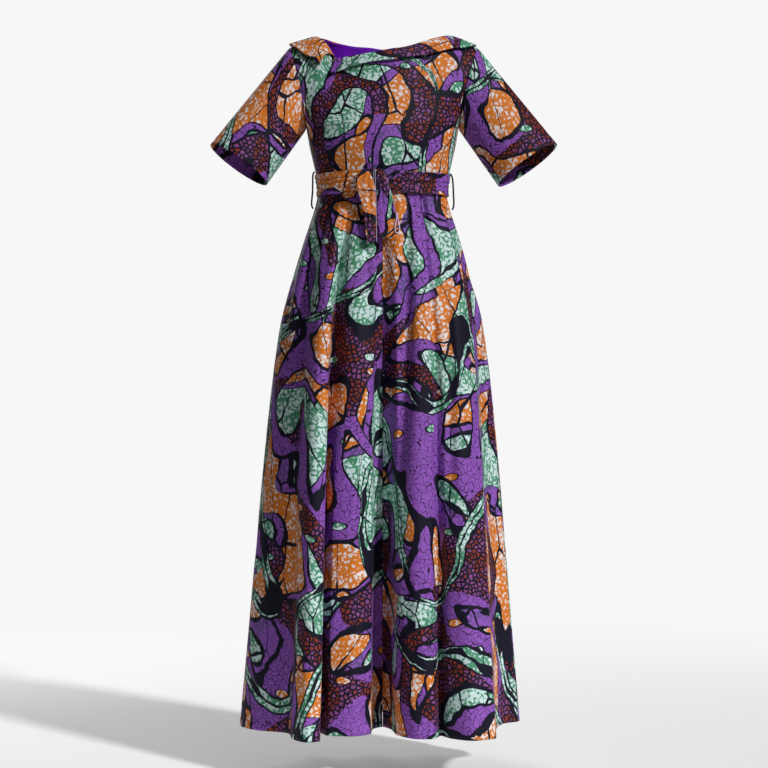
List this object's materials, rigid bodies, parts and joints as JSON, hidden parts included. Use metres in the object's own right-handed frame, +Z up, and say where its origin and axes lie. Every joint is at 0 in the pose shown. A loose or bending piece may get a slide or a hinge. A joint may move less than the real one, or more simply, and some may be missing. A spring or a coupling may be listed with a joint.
{
  "type": "printed maxi dress",
  "caption": "Short-sleeved ankle-length dress in printed cotton, filled out as worn, with a folded boat collar, a tied waist sash and a gathered A-line skirt.",
  "frame": {"origin": "midway between the two shoulder points, where the wearer's shoulders carry the dress", "axes": "+X to the wearer's left, -Y to the front, +Z up"},
  "size_m": [0.7025, 0.44, 1.4032],
  "materials": {
    "printed_cotton": "plain-weave cotton with an all-over print, matt with a slight sheen",
    "violet_cotton": "plain violet cotton, matt",
    "black_thread": "twisted polyester thread"
  },
  "bodies": {
    "root": {"bodice_front": "printed_cotton", "bodice_back_left": "printed_cotton", "bodice_back_right": "printed_cotton", "sleeve_left": "printed_cotton", "sleeve_right": "printed_cotton", "skirt_front_left": "printed_cotton", "skirt_front_right": "printed_cotton", "skirt_back_left": "printed_cotton", "skirt_back_right": "printed_cotton", "collar_left": "printed_cotton", "collar_right": "printed_cotton", "facing_left": "violet_cotton", "facing_right": "violet_cotton", "sash_band": "printed_cotton", "sash_knot": "printed_cotton", "sash_tail_left": "printed_cotton", "sash_tail_right": "printed_cotton", "thread_loop_left": "black_thread", "thread_loop_right": "black_thread"}
  },
  "joints": []
}
